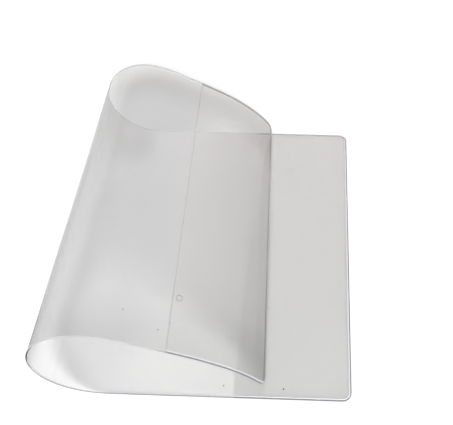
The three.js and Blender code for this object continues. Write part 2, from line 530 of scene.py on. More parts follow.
def sheet_roughness(tree, cloud, rim):
    rough = calc(tree, "ADD", sheet_polish, calc(tree, "MULTIPLY", cloud, cloud_roughness))
    return calc(tree, "ADD", rough, calc(tree, "MULTIPLY", rim, frosted_rim))


# %% [markdown]
# The curl's painted shade. On the real cover the bent part is darker than the flat part, most of all
# where it is seen at a slant and at its two open ends, where light has crossed the most layers and the
# table under and behind the curl lies in shade. Deeper reflections could be traced for it, but they
# would depend on the room. So that shade is painted into the curl's tint, laid out in zones of the flat
# sheet, each of which fades in between two distances, and Layer Weight adds painted shade where the
# sheet is seen at a slant. Light on its way from the table to the lamp doesn't meet this tint.

# %% The curl's painted shade
front_shade = (0.987, 0.981, 0.984, 1)
bent_shade = (0.925, 0.925, 0.925, 1)
near_end_shade = (0.79, 0.79, 0.79, 1)
far_end_shade = (0.82, 0.81, 0.805, 1)
slant_shade = (0.5, 0.5, 0.5, 1)
slant_zone = (0.3, 0.85)
rise_zone = (130 * MM, 165 * MM)
fall_zone = (300 * MM, 250 * MM)
near_start_zone = (150 * MM, 185 * MM)
near_zone = (60 * MM, 0)
far_start_zone = (150 * MM, 180 * MM)
far_end_zone = (175 * MM, 225 * MM)


# Painted shade: the curl is darker, most at its two ends and where it is seen at a slant.
def curl_shade(tree, colour, along, away):
    risen = ramp(tree, along, *rise_zone)
    bend_share = calc(tree, "MINIMUM", risen, ramp(tree, along, *fall_zone))
    near_end = patch(tree, along, near_start_zone, away, near_zone)
    far_end = patch(tree, along, far_start_zone, away, far_end_zone)
    slant = add_node(tree, "ShaderNodeLayerWeight", {"Blend": 0.5}).outputs["Facing"]
    slanted = calc(tree, "MULTIPLY", bend_share, ramp(tree, slant, *slant_zone))
    colour = colour_mix(tree, risen, colour, front_shade)
    colour = colour_mix(tree, bend_share, colour, bent_shade)
    colour = colour_mix(tree, near_end, colour, near_end_shade)
    colour = colour_mix(tree, far_end, colour, far_end_shade)
    return colour_mix(tree, slanted, colour, slant_shade)


# %% [markdown]
# The light under the curl. On the real table the flat part is lit through the curl nearly
# as brightly as elsewhere, while the open table behind the curl lies in deep shade.
# Caustics could show both, at a great cost in noise. Instead Light Path tells the finish
# which ray asks. The renderer follows light backwards, so a ray that has met the table is
# on its way to the lamp, and the curl lets it pass without a tint. A ray that comes
# straight off the table and meets the crest first has left the open table behind the
# curl, and there it is held back.

# %% What the rays past the table meet
any_bounce = 0.5
lit_colour = (1.0, 1.0, 1.0, 1)
edge_shade_colour = (0.85, 0.85, 0.85, 1)
edge_shade_zone = (345 * MM, 390 * MM)
shade_colour = (0.02, 0.02, 0.02, 1)
shade_zone = (195 * MM, 225 * MM)


def lamp_light(tree, colour, along):
    rays = tree.nodes.new("ShaderNodeLightPath").outputs
    past_table = calc(tree, "GREATER_THAN", rays["Diffuse Depth"], any_bounce)
    lit = colour_mix(tree, ramp(tree, along, *edge_shade_zone), lit_colour, edge_shade_colour)
    lit_share = calc(tree, "MULTIPLY", ramp(tree, along, *rise_zone), past_table)
    shade_share = calc(tree, "MULTIPLY", ramp(tree, along, *shade_zone), rays["Is Diffuse Ray"])
    colour = colour_mix(tree, lit_share, colour, lit)
    return colour_mix(tree, shade_share, colour, shade_colour)


# %% [markdown]
# The rim. The hot knife melts the cut edge, and the melted line is what makes the outline of clear
# vinyl visible. It could be one colour all round, but where it lies on the table or on other layers it
# is painted dark, a painted shade for the contact shadow under the edge, and in the air it is pale. So
# its tint follows the sheet: dark along the near edge as far as the crest, pale along the far edge and
# over the crest, dark at the front weld, where three layers meet, and pale again at the free edge. The
# line is partly the melted rim and partly painted shade.

# %% The rim's mask, and its tint with painted shade
rim_width = 0.75 * MM
mouth_line = 0.8 * MM
far_rim_share = 1.7
far_side_zone = (200 * MM, 235 * MM)
shaded_rim_colour = (0.34, 0.33, 0.38, 1)
curled_rim_colour = (0.92, 0.92, 0.93, 1)
far_crest_rim_colour = (0.8, 0.79, 0.81, 1)
single_zone = (75 * MM, 80 * MM)
far_rim_zone = (100 * MM, 140 * MM)
crest_rim_zone = (190 * MM, 225 * MM)
front_weld_zone = (324 * MM, 320 * MM)
free_edge_zone = (390 * MM, 394 * MM)


def rim_mask(tree, vector, away, line, mouth):
    """The line is wider along the far side, which is seen from farther away."""
    far_side = ramp(tree, away, *far_side_zone)
    sizes = {
        "Sheet Width": cover_width,
        "Sheet Height": cover_height,
        "Corner Radius": corner_radius,
        "Mouth": mouth,
        "Rim Width": choose(tree, far_side, line, line * far_rim_share),
        "Mouth Width": mouth_line,
    }
    return use_group(tree, rim_group, {"Vector": vector, **sizes})


# The melted rim, painted dark as shade where it lies on the table or on other layers, and pale in the
# air.
def rim_shade_by_place(tree, along, away):
    single = ramp(tree, along, *single_zone)
    far_rise = calc(tree, "MINIMUM", single, ramp(tree, away, *far_rim_zone))
    crest = calc(tree, "MAXIMUM", far_rise, ramp(tree, along, *crest_rim_zone))
    before_weld = calc(tree, "MINIMUM", crest, ramp(tree, along, *front_weld_zone))
    pale = calc(tree, "MAXIMUM", before_weld, ramp(tree, along, *free_edge_zone))
    far_crest = patch(tree, along, far_start_zone, away, far_side_zone)
    curled = colour_mix(tree, far_crest, curled_rim_colour, far_crest_rim_colour)
    return colour_mix(tree, pale, shaded_rim_colour, curled)


# %% The dust on a sheet
dust_colour = (0.25, 0.24, 0.23, 1)
dust_spacing = 14 * MM
dust_grain = 0.2 * MM
dust_share = 0.05


def dust_mask(tree, vector, specks):
    """Fine dust all over, and single specks, each given by u, y and its reach in mm."""
    grains = {"Spacing": dust_spacing, "Grain": dust_grain, "Share": dust_share}
    dust = use_group(tree, dust_group, {"Vector": vector, **grains})
    for u, y, reach in specks:
        place = (u * MM, y * MM, 0)
        speck = use_group(tree, speck_group, {"Vector": vector, "Place": place, "Reach": reach * MM})
        dust = calc(tree, "MAXIMUM", dust, speck)
    return dust


# %% Any clear sheet
no_mouth = -1.0
fine_ripple = 0.01 * MM


def rippled(tree, shader, vector, swell, fine):
    height = use_group(tree, ripple_group, {"Vector": vector, "Swell": swell, "Fine": fine})
    bump = add_node(tree, "ShaderNodeBump", {"Height": height, "Distance": 1.0, "Strength": 1.0})
    wire(tree, bump.outputs["Normal"], shader.inputs["Normal"])


def clear_vinyl(name, ior, swell, own_look, specks=(), haze=sheet_haze, line=rim_width, mouth=no_mouth):
    """own_look(tree, colour, rim, vector, along, away) adds what this one sheet has."""
    material, tree, shader = new_finish(name)
    vector, along, away = flat_map(tree)
    cloud = use_group(tree, cloud_group, {"Vector": vector})
    rim = rim_mask(tree, vector, away, line, mouth)
    colour = sheet_tint(tree, away, cloud, haze)
    colour = own_look(tree, colour, rim, vector, along, away)
    colour = colour_mix(tree, dust_mask(tree, vector, specks), colour, dust_colour)
    wire(tree, colour, shader.inputs["Base Color"])
    wire(tree, sheet_roughness(tree, cloud, rim), shader.inputs["Roughness"])
    rippled(tree, shader, vector, swell, fine_ripple)
    shader.inputs["IOR"].default_value = ior
    shader.inputs["Transmission Weight"].default_value = 1.0
    return material


# %% The cover's finish
cover_swell = 1.0 * MM
cover_specks = ((82.0, 8.0, 0.5), (131.3, 46.3, 0.45), (157.6, 61.0, 0.45))


def cover_look(tree, colour, rim, vector, along, away):
    colour = curl_shade(tree, colour, along, away)
    colour = lamp_light(tree, colour, along)
    return colour_mix(tree, rim, colour, rim_shade_by_place(tree, along, away))


cover_vinyl = clear_vinyl("clear_cover_vinyl", vinyl_ior, cover_swell, cover_look, cover_specks)
print("made", cover_vinyl.name, "with", len(cover_vinyl.node_tree.nodes), "nodes")

# %% [markdown]
# The flaps' finishes. The back flap is the same clear sheet, without the curl. The front
# flap clings to the cover on the real product, so that its faces hardly show: its index is
# lower still and it has no haze, but its mouth draws a fine line. Near the mouth some air
# is trapped in one small ring, which two round masks make.

# %% The flaps' finishes
flap_swell = 0.8 * MM
flap_specks = ((43.5, 6.6, 0.6), (49.1, 198, 0.33), (46.1, 198, 0.38), (43.2, 198, 0.33))
no_line = 0.001 * MM
mouth_colour = (0.78, 0.77, 0.79, 1)
bubble_place = (326.5 * MM, 38 * MM, 0)
bubble_reach = 2.2 * MM
bubble_wall = 0.5 * MM


def flap_look(tree, colour, rim, vector, along, away):
    # The back flap's melted rim, painted dark as shade where it lies on the cover.
    return colour_mix(tree, rim, colour, shaded_rim_colour)


def clinging_look(tree, colour, rim, vector, along, away):
    colour = colour_mix(tree, rim, colour, mouth_colour)
    centred = {"Vector": vector, "Place": bubble_place}
    disc = use_group(tree, speck_group, {**centred, "Reach": bubble_reach})
    hole = use_group(tree, speck_group, {**centred, "Reach": bubble_reach - bubble_wall})
    return colour_mix(tree, calc(tree, "SUBTRACT", disc, hole), colour, mouth_colour)


flap_vinyl = clear_vinyl("clear_flap_vinyl", vinyl_ior, flap_swell, flap_look, flap_specks)
clinging_vinyl = clear_vinyl(
    "clinging_flap_vinyl",
    cling_ior,
    flap_swell,
    clinging_look,
    haze=0.0,
    line=no_line,
    mouth=cover_width - pocket_width,
)
print("made", flap_vinyl.name, "and", clinging_vinyl.name)

# %% [markdown]
# The weld's finish. Vinyl that melts and cools again turns cloudy, so the bead keeps some light and
# scatters it. It could be a volume, but a thin bead is quicker and cleaner with a low transmission. The
# clouds make it uneven. The arm on the far side, which is seen against the shaded inside of the curl,
# is painted darker: a painted shade.

# %% The weld's finish
weld_ior = 1.45
weld_clearness = 0.15
weld_bright = (0.95, 0.95, 0.96, 1)
weld_dull = (0.88, 0.88, 0.9, 1)
weld_far_shade = (0.5, 0.49, 0.5, 1)
far_weld_shade_zone = (232 * MM, 238 * MM)
weld_polish = 0.12
weld_unevenness = 0.1
weld_swell = 0.2 * MM
weld_fine = 0.04 * MM


def milky_weld(name):
    material, tree, shader = new_finish(name)
    vector, along, away = flat_map(tree)
    cloud = use_group(tree, cloud_group, {"Vector": vector})
    colour = colour_mix(tree, cloud, weld_bright, weld_dull)
    # Painted shade on the arm on the far side.
    colour = colour_mix(tree, ramp(tree, away, *far_weld_shade_zone), colour, weld_far_shade)
    wire(tree, colour, shader.inputs["Base Color"])
    rough = calc(tree, "ADD", weld_polish, calc(tree, "MULTIPLY", cloud, weld_unevenness))
    wire(tree, rough, shader.inputs["Roughness"])
    rippled(tree, shader, vector, weld_swell, weld_fine)
    shader.inputs["IOR"].default_value = weld_ior
    shader.inputs["Transmission Weight"].default_value = weld_clearness
    return material


weld_vinyl = milky_weld("milky_weld")
print("made", weld_vinyl.name)

# %% [markdown]
# The partings' finish. The real cover isn't parted, but the picture's is, one length for each joint.
# Its cut faces could be left out, but then a ray would enter one plate and never leave it. So they are
# closed with a finish of index 1 and no tint, which neither bends nor darkens what passes.


# %% The finish of a parting
def parting_finish(name):
    material, tree, shader = new_finish(name)
    shader.inputs["Base Color"].default_value = white
    shader.inputs["Roughness"].default_value = 0.0
    shader.inputs["IOR"].default_value = 1.0
    shader.inputs["Transmission Weight"].default_value = 1.0
    return material


parting_vinyl = parting_finish("unseen_parting")
print("made", parting_vinyl.name)

# %% [markdown]
# The plates. A cut sheet could be a plane with a Solidify modifier, but its edge would be
# a plain wall, and the edge is what makes clear vinyl visible: the hot knife leaves a low
# ridge just inside the cut, which draws a bright and a dark line. So a plate is built from
# rows of points across the sheet, close together at the edges, with its own height there.


# %% Distances on the flat sheet
def along_curl(share, length):
    """The same rule as in the node group, for the lines that part the pieces."""
    level = length - (ease_in + ease_out) / 2
    bent = share * level
    if bent < ease_in / 2:
        return math.sqrt(2 * ease_in * bent)
    if bent > level - ease_out / 2:
        return length - math.sqrt(2 * ease_out * (level - bent))
    return bent + ease_in / 2


def curl_line(share):
    """The near and far ends of a line across the sheet."""
    near = lift_off + along_curl(share, curl_length)
    far = lift_off + lift_off_skew + along_curl(share, curl_length - curl_taper)
    return near, far


def inside(u, y):
    """How far a point lies inside the sheet's outline, with its rounded corners."""
    over_u = np.abs(u - cover_width / 2) - (cover_width / 2 - corner_radius)
    over_y = np.abs(y - cover_height / 2) - (cover_height / 2 - corner_radius)
    corner = np.hypot(np.maximum(over_u, 0), np.maximum(over_y, 0))
    return corner_radius - corner - np.minimum(np.maximum(over_u, over_y), 0)


def soft_step(x):
    x = np.clip(x, 0, 1)
    return x * x * (3 - 2 * x)


print("the curl's middle line lies at, in mm:", [round(u / MM, 1) for u in curl_line(0.5)])

# %% A row of points across the sheet
edge_steps = [d * MM for d in (0, 0.08, 0.2, 0.35, 0.5, 0.65, 0.8, 1.0, 1.3, 1.7, 2.6, 4)]
middle_columns = 40
corner_steps = 24
least_spacing = 0.03 * MM


def set_back(u, margin):
    """How far a rounded corner draws back the near and far ends of a row at u."""
    radius = corner_radius - margin
    from_end = min(u, cover_width - u) - margin
    short = max(radius - from_end, 0)
    return margin + radius - math.sqrt(max(radius**2 - short**2, 0))


def row_across(near, far, margin=0.0):
    back = set_back((near + far) / 2, margin)
    start = [back + step for step in edge_steps]
    end = [cover_height - y for y in reversed(start)]
    middle = list(np.linspace(start[-1], end[0], middle_columns + 2))[1:-1]
    y = np.array(start + middle + end)
    return np.stack([near + (far - near) * y / cover_height, y], axis=1)


def end_distances(margin=0.0):
    """Distances from an end of the sheet at which a row is needed for its rounded corners."""
    radius = corner_radius - margin
    arc = [radius * (1 - math.cos(k / corner_steps * math.pi / 2)) for k in range(corner_steps + 1)]
    wanted = sorted(set(edge_steps + arc))
    kept = [wanted[0]]
    for distance in wanted[1:]:
        if distance - kept[-1] > least_spacing:
            kept.append(distance)
    return [margin + distance for distance in kept]


print("a rounded end takes", len(end_distances()), "rows")

# %% Lines across the sheet
close_spacing = 0.1 * MM


def straight(u):
    return u, u


def lines_between(start, end, spacing, close_first=False, close_last=False):
    """Lines from one to another. At a parting a second line lies close to it, so that the
    shading of the two pieces that meet there is the same."""
    count = max(2, round(abs(end[0] - start[0]) / spacing))
    shares = list(np.linspace(0, 1, count + 1))
    close = close_spacing / abs(end[0] - start[0])
    if close_first:
        shares.insert(1, close)
    if close_last:
        shares.insert(-1, 1 - close)
    return [tuple(a + (b - a) * share for a, b in zip(start, end)) for share in shares]


def strung(*runs):
    """Runs of lines joined end to end, without the lines that two runs share."""
    lines = list(runs[0])
    for run in runs[1:]:
        lines += run[1:]
    return lines


# %% The faces of a plate
def plate_faces(deep, wide):
    """The bottom and the top of a plate that has deep rows of wide points."""
    lifted = deep * wide
    faces = []
    for row in range(deep - 1):
        for column in range(wide - 1):
            a = row * wide + column
            faces.append((a, a + wide, a + wide + 1, a + 1))
            faces.append(tuple(i + lifted for i in (a, a + 1, a + wide + 1, a + wide)))
    return faces


def plate_walls(deep, wide):
    """The walls along the first row, the far side, the last row and back."""
    lifted = deep * wide
    rim = list(range(wide))
    rim += [row * wide + wide - 1 for row in range(1, deep)]
    rim += [(deep - 1) * wide + column for column in range(wide - 2, -1, -1)]
    rim += [row * wide for row in range(deep - 2, 0, -1)]
    return [(a, b, b + lifted, a + lifted) for a, b in zip(rim, rim[1:] + rim[:1])]


def plate_marks(deep, wide, first_parted, last_parted):
    """Which faces are walls, and which of the walls are partings."""
    first_row = 2 * (deep - 1) * (wide - 1)
    last_row = first_row + wide - 1 + deep - 1
    is_wall = np.arange(first_row + 2 * (deep + wide - 2)) >= first_row
    is_parting = np.zeros(len(is_wall), dtype=bool)
    is_parting[first_row : first_row + wide - 1] = first_parted
    is_parting[last_row : last_row + wide - 1] = last_parted
    return {"wall": is_wall, "parting": is_parting}


# %% A mesh that remembers the flat sheet
def flat_piece(name, points, faces, flat, marks=None):
    """flat says where each point lies on the flat sheet, and marks names some faces."""
    mesh = bpy.data.meshes.new(name)
    mesh.from_pydata(points.tolist(), [], faces)
    for label, marked in (marks or {}).items():
        attribute = mesh.attributes.new(label, "BOOLEAN", "FACE")
        attribute.data.foreach_set("value", marked)
    for label, values in (("flat_u", flat[:, 0]), ("flat_y", flat[:, 1])):
        attribute = mesh.attributes.new(label, "FLOAT", "POINT")
        attribute.data.foreach_set("value", np.ascontiguousarray(values, dtype=np.float32))
    uv = mesh.uv_layers.new(name="flat")
    corners = np.empty(len(mesh.loops), dtype=np.int32)
    mesh.loops.foreach_get("vertex_index", corners)
    uv.uv.foreach_set("vector", flat[corners].astype(np.float32).ravel())
    mesh.validate()
    piece = bpy.data.objects.new(name, mesh)
    bpy.context.scene.collection.objects.link(piece)
    return piece


# %% A closed plate from its rows
parting_gap = 0.01 * MM


def plate(name, rows, heights, first_lean=0.0, last_lean=0.0):
    """heights(u, y) gives the plate's bottom and top above the outer face. Where a plate
    is parted, its end leans, so that the two halves meet in a long slant, which is much
    harder to see in clear vinyl than an upright joint."""
    grid = np.array(rows)
    deep, wide = grid.shape[:2]
    lean = np.zeros((deep, 1))
    shift = np.zeros((deep, 1))
    if first_lean:
        lean[:2] = first_lean
        shift[0] = parting_gap / 2
    if last_lean:
        lean[-2:] = last_lean
        shift[-1] = -parting_gap / 2
    u, y = grid[..., 0] + shift, grid[..., 1]
    bottom, top = heights(u, y)
    low = np.stack([-u - lean, y, bottom], axis=-1).reshape(-1, 3)
    high = np.stack([-u + lean, y, top], axis=-1).reshape(-1, 3)
    points = np.concatenate([low, high])
    flat = points[:, :2] * (-1, 1)
    faces = plate_faces(deep, wide) + plate_walls(deep, wide)
    marks = plate_marks(deep, wide, first_lean != 0, last_lean != 0)
    return flat_piece(name, points, faces, flat, marks)


# %% [markdown]
# Rolling a piece up. The modifier's inputs are set by their identifiers, before the piece
# is first evaluated. The result becomes a plain mesh, because a piece is joined to the
# model's bodies only without a live modifier. Then the walls' edges are marked sharp, so
# that the faces keep their smooth shading up to the cut.

# %% The curl's values for the modifier
curl_sizes = {
    "Sheet Width": cover_width,
    "Sheet Height": cover_height,
    "Lift Off": lift_off,
    "Lift Off Skew": lift_off_skew,
    "Curl Length": curl_length,
    "Curl Taper": curl_taper,
    "Ease In": ease_in,
    "Ease Out": ease_out,
    "Curl Turn": curl_turn,
    "Curl Folds": curl_folds,
    "Fore Bend Width": fore_bend_width,
    "Fore Bend Turn": fore_bend_turn,
    "Fore Folds": fore_folds,
    "Corner": sheet_corner,
}
sharp_angle = math.radians(40)


# %% Roll a flat piece up, and make it a plain mesh
def finish_partings(mesh):
    """Give the parting faces their own finish, and keep their edges out of the shading."""
    if "parting" not in mesh.attributes:
        return
    marked = np.empty((2, len(mesh.polygons)), dtype=bool)
    for values, label in zip(marked, ("wall", "parting")):
        mesh.attributes[label].data.foreach_get("value", values)
    walls, partings = marked
    if partings.any():
        mesh.materials.append(parting_vinyl)
        mesh.polygons.foreach_set("material_index", partings.astype(np.int32))
    at_wall = {key for face in np.flatnonzero(walls) for key in mesh.polygons[face].edge_keys}
    at_top = {key for face in np.flatnonzero(~walls) for key in mesh.polygons[face].edge_keys}
    for edge in mesh.edges:
        if edge.key in at_wall and edge.key in at_top:
            edge.use_edge_sharp = True


def rolled(piece, material):
    modifier = piece.modifiers.new("curl the sheet", "NODES")
    modifier.node_group = curl_tree
    values = {**curl_sizes, "Material": material}
    for item in curl_tree.interface.items_tree:
        if item.in_out == "INPUT" and item.name in values:
            modifier[item.identifier] = values[item.name]
    depsgraph = bpy.context.evaluated_depsgraph_get()
    mesh = bpy.data.meshes.new_from_object(
        piece.evaluated_get(depsgraph), preserve_all_data_layers=True, depsgraph=depsgraph
    )
    piece.modifiers.clear()
    piece.data = mesh
    mesh.shade_smooth()
    mesh.set_sharp_from_angle(angle=sharp_angle)
    finish_partings(mesh)
    size = [round(1000 * side, 1) for side in piece.dimensions]
    print(piece.name, len(mesh.polygons), "faces, size in mm", size)
    return piece


# %% [markdown]
# The cover itself. On the real product it is one sheet. In the model it lies across every joint, and a
# piece can bend across only one joint, so the sheet is parted on the lines halfway between the joints'
# axes. The parting doesn't show. The ridge inside the cut is there where the sheet lies single, and
# stops at the pockets, where the weld takes its place.

# %% The height of the cover's two faces
ridge_height = 0.45 * MM
ridge_place = 0.55 * MM
ridge_width = 0.42 * MM
ridge_start = 0.5 * MM
ridge_rise = 1.5 * MM
rim_drop = 0.1 * MM
rim_round = 0.08 * MM
under_share = 0.6


def cover_heights(u, y):
    from_edge = inside(u, y)
    from_end = np.minimum(u, cover_width - u)
    single = soft_step((from_end - pocket_width - ridge_start) / ridge_rise)
    ridge = ridge_height * np.exp(-(((from_edge - ridge_place) / ridge_width) ** 2)) * single
    cut = rim_drop * (1 - np.clip(from_edge / rim_round, 0, 1))
    return cut * under_share, sheet_thickness + ridge - cut


# %% The lines of the cover's four lengths
curl_spacing = 2 * MM
flat_spacing = 5 * MM
ridge_spacing = 0.4 * MM
back_end = [straight(d) for d in end_distances()]
front_end = [straight(cover_width - d) for d in reversed(end_distances())]
under_flap = 1 * MM
past_flap = 3 * MM
back_ridge = (straight(pocket_width - under_flap), straight(pocket_width + past_flap))
front_ridge = (
    straight(cover_width - pocket_width - past_flap),
    straight(cover_width - pocket_width + under_flap),
)
parting_shares = (0, 0.25, 0.5, 0.75, 1)
partings = [curl_line(share) for share in parting_shares]

cover_lines = {
    "sheet_back_half": strung(
        back_end,
        lines_between(back_end[-1], back_ridge[0], flat_spacing),
        lines_between(*back_ridge, ridge_spacing),
        lines_between(back_ridge[1], partings[0], flat_spacing),
        lines_between(partings[0], partings[1], curl_spacing, close_last=True),
    ),
    "sheet_curl_rise": lines_between(partings[1], partings[2], curl_spacing, True, True),
    "sheet_curl_crest": lines_between(partings[2], partings[3], curl_spacing, True, True),
    "sheet_front_half": strung(
        lines_between(partings[3], partings[4], curl_spacing, close_first=True),
        lines_between(partings[4], front_ridge[0], curl_spacing),
        lines_between(*front_ridge, ridge_spacing),
        lines_between(front_ridge[1], front_end[0], curl_spacing),
        front_end,
    ),
}
print("lines in each length:", {name: len(lines) for name, lines in cover_lines.items()})

# %% The four lengths of the cover
parting_lean = 1.5 * MM
parting_leans = (0.0, parting_lean, -parting_lean, parting_lean, 0.0)
cover_pieces = {}
for index, (name, lines) in enumerate(cover_lines.items()):
    rows = [row_across(near, far) for near, far in lines]
    leans = parting_leans[index : index + 2]
    cover_pieces[name] = rolled(plate(name, rows, cover_heights, *leans), cover_vinyl)

# %% [markdown]
# The pocket flaps. Each is a narrow sheet on the cover's inner face that reaches the cut
# edge on three sides, where the weld holds it. There it is drawn down onto the cover, and
# towards its open mouth it stands a little clear, which is why the mouth shows as a fine
# line. They are plates too, with heights of their own.

# %% The height of a flap's two faces
flap_margin = 0.2 * MM
flap_seat = 0.05 * MM
layer_gap = 0.3 * MM
weld_width = 2.6 * MM
lift_width = 5 * MM
belly_width = 32 * MM


def flap_heights(belly, mouth_u):
    def heights(u, y):
        from_edge = inside(u, y) - flap_margin
        lift = flap_seat + (layer_gap - flap_seat) * soft_step((from_edge - weld_width) / lift_width)
        lift = lift + belly * soft_step(from_edge / belly_width)
        mouth = np.abs(u - mouth_u)
        cut = rim_drop * (1 - np.clip(np.minimum(from_edge, mouth) / rim_round, 0, 1))
        base = sheet_thickness + lift
        return base + cut, base + sheet_thickness - cut

    return heights


# %% The two flaps
mouth_spacing = 0.15 * MM
mouth_band = 1 * MM
front_mouth_u = cover_width - pocket_width
flap_ends = end_distances(flap_margin)
flap_lines = {
    "back_pocket_flap": strung(
        [straight(d) for d in flap_ends],
        lines_between(straight(flap_ends[-1]), straight(pocket_width - mouth_band), flat_spacing),
        lines_between(straight(pocket_width - mouth_band), straight(pocket_width), mouth_spacing),
    ),
    "front_pocket_flap": strung(
        lines_between(straight(front_mouth_u), straight(front_mouth_u + mouth_band), mouth_spacing),
        lines_between(
            straight(front_mouth_u + mouth_band), straight(cover_width - flap_ends[-1]), curl_spacing
        ),
        [straight(cover_width - d) for d in reversed(flap_ends)],
    ),
}
back_belly = 0.25 * MM
front_belly = 0.3 * MM
flap_looks = {
    "back_pocket_flap": (back_belly, pocket_width, flap_vinyl),
    "front_pocket_flap": (front_belly, front_mouth_u, clinging_vinyl),
}
flap_pieces = {}
for name, lines in flap_lines.items():
    belly, mouth_u, material = flap_looks[name]
    rows = [row_across(near, far, flap_margin) for near, far in lines]
    flap_pieces[name] = rolled(plate(name, rows, flap_heights(belly, mouth_u)), material)

# %% [markdown]
# The welds. A hot bar presses the sheets together along three sides, and what it pushes
# aside cools as a rounded bead, which is the light line that frames each pocket. It could
# be a bevelled curve, but then it wouldn't follow the curl. So its profile is swept along
# the flat outline, round both corners, and rolled up with the same tree. It is wider along
# the side of the sheet than on the two arms that run to the mouth. The front weld's arms
# also have a low bead on the cover's outer face, which is the face seen from above.

# %% The weld's profile, as reach and rise in mm, and its path
weld_profile = [
    (0.75, 0.03),
    (0.83, 0.16),
    (0.95, 0.3),
    (1.08, 0.36),
    (1.22, 0.36),
    (1.35, 0.3),
    (1.47, 0.16),
    (1.55, 0.03),
]
arm_start = 0.5 * MM


def weld_path():
    """Where the outline runs from one mouth end to the other: a point and the way inwards.
    Also how many of these points make an arm, which ends halfway round its corner."""
    arm = [pocket_width - k * curl_spacing for k in range(int(pocket_width / curl_spacing) + 1)]
    arm = [d for d in arm if d > corner_radius + arm_start]
    path = [((d, 0.0), (0.0, 1.0)) for d in arm]
    for k in range(corner_steps + 1):
        angle = k / corner_steps * math.pi / 2
        way = (math.sin(angle), math.cos(angle))
        path.append(((corner_radius * (1 - way[0]), corner_radius * (1 - way[1])), way))
    side = np.arange(corner_radius + flat_spacing, cover_height / 2, flat_spacing)
    path += [((0.0, y), (1.0, 0.0)) for y in side]
    mirrored = [((d, cover_height - y), (way[0], -way[1])) for (d, y), way in reversed(path)]
    return path + mirrored, len(arm) + corner_steps // 2 + 1


outline_path, arm_count = weld_path()
print("the weld's path has", len(outline_path), "points,", arm_count, "of them on each arm")

# %% One bead along a path
bead_gap = 0.02 * MM
weld_seat = sheet_thickness + flap_seat + bead_gap
arm_widening = 0.8
side_widening = 1.7
outer_widening = 1.3
outer_share = 0.6


def widened(reach, way_in, outer):
    """The profile starts at the same distance from the cut, whatever its width."""
    first = weld_profile[0][0]
    if outer:
        return first + (reach - first) * outer_widening
    return first + (reach - first) * (arm_widening + (side_widening - arm_widening) * way_in)


def bead_points(path, seat, share, from_front):
    """A share below 0 turns the bead over, onto the outer face."""
    points = []
    flat = []
    for (d, y), (in_d, in_y) in path:
        for low in (True, False):
            for reach, rise in weld_profile:
                reach = widened(reach, in_d, share < 0)
                at_d = d + in_d * reach * MM
                at_y = y + in_y * reach * MM
                at_u = cover_width - at_d if from_front else at_d
                points.append((-at_u, at_y, seat + (0 if low else rise * share * MM)))
                flat.append((at_u, at_y))
    return points, flat


def bead_faces(count, first, turned):
    """The faces of a closed bead of count profiles, whose points start at first."""
    wide = len(weld_profile)
    ring = list(range(wide)) + [wide + c for c in range(wide - 1, -1, -1)]
    faces = []
    for r in range(count - 1):
        a = first + r * 2 * wide
        b = a + 2 * wide
        faces += [(a + i, a + j, b + j, b + i) for i, j in zip(ring, ring[1:] + ring[:1])]
    last = first + (count - 1) * 2 * wide
    faces.append(tuple(first + i for i in reversed(ring)))
    faces.append(tuple(last + i for i in ring))
    return [tuple(reversed(face)) for face in faces] if turned else faces


# %% The two welds
def weld(name, from_front):
    beads = [(outline_path, sheet_thickness + weld_seat, 1.0)]
    if from_front:
        for arm in (outline_path[:arm_count], outline_path[-arm_count:]):
            beads.append((arm, -bead_gap, -outer_share))
    points = []
    flat = []
    faces = []
    for bead_path, seat, share in beads:
        faces += bead_faces(len(bead_path), len(points), from_front == (share > 0))
        bead, bead_flat = bead_points(bead_path, seat, share, from_front)
        points += bead
        flat += bead_flat
    return flat_piece(name, np.array(points), faces, np.array(flat))


weld_pieces = {
    "back_weld": rolled(weld("back_weld", False), weld_vinyl),
    "front_weld": rolled(weld("front_weld", True), weld_vinyl),
}

# %% [markdown]
# The motion. On the real cover the whole curl unrolls. In the model four joints share the turn, and
# each length of the cover lies across one joint. The flaps and the welds lie on the two stiff halves
# and ride on them.


def place_on(piece, u, y):
    """Where the point of the flat sheet nearest to (u, y) lies on the rolled piece."""
    mesh = piece.data
    flat = np.empty((2, len(mesh.vertices)), dtype=np.float32)
    for values, label in zip(flat, ("flat_u", "flat_y")):
        mesh.attributes[label].data.foreach_get("value", values)
    nearest = int(np.argmin((flat[0] - u) ** 2 + (flat[1] - y) ** 2))
    return mesh.vertices[nearest].co.copy()


def bend_across(piece, joint, lines):
    """Find where two lines of the sheet lie on a piece, and the way between them square to the joint's
    axis, and bake the piece's transform. The piece is not bent."""
    half_way = cover_height / 2
    start, end = (place_on(piece, (near + far) / 2, half_way) for near, far in lines)
    axis = Vector(joint["axis"]).normalized()
    way = end - start
    way = (way - axis * way.dot(axis)).normalized()
    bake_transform(piece)
    print(piece.name, "bends between", joint["parent"], "and", joint["child"])


# %% Go through the cover's lengths and their joints, and join the flaps and welds to the bodies
for index, (piece, joint) in enumerate(zip(cover_pieces.values(), frame["joints"])):
    bend_across(piece, joint, partings[index : index + 2])
for name, piece in {**flap_pieces, **weld_pieces}.items():
    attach(piece, name.split("_")[0])

stands_for = {
    "sheet_back_half": ["cover_back"],
    "sheet_curl_rise": ["cover_roll_1"],
    "sheet_curl_crest": ["cover_roll_2", "cover_roll_3"],
    "sheet_front_half": ["cover_front"],
    "back_pocket_flap": ["back_pocket"],
    "front_pocket_flap": ["front_pocket"],
    "back_weld": ["back_seam"],
    "front_weld": ["front_seam"],
}
for name, nodes in stands_for.items():
    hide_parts(*nodes)
print(len(stands_for), "pieces stand for the model's solids")

# %% [markdown]
# The table. Clear vinyl shows what lies under it, so the table is as much of the picture
# as the cover is. It is a large white floor that takes real shadow, with a little light of
# its own for the camera, reflections and refractions, so that its open part is white. It
# lies a hair below the cover, because the unrolled front half dips a little under the
# plane of the back half, and a higher table would cut it off.

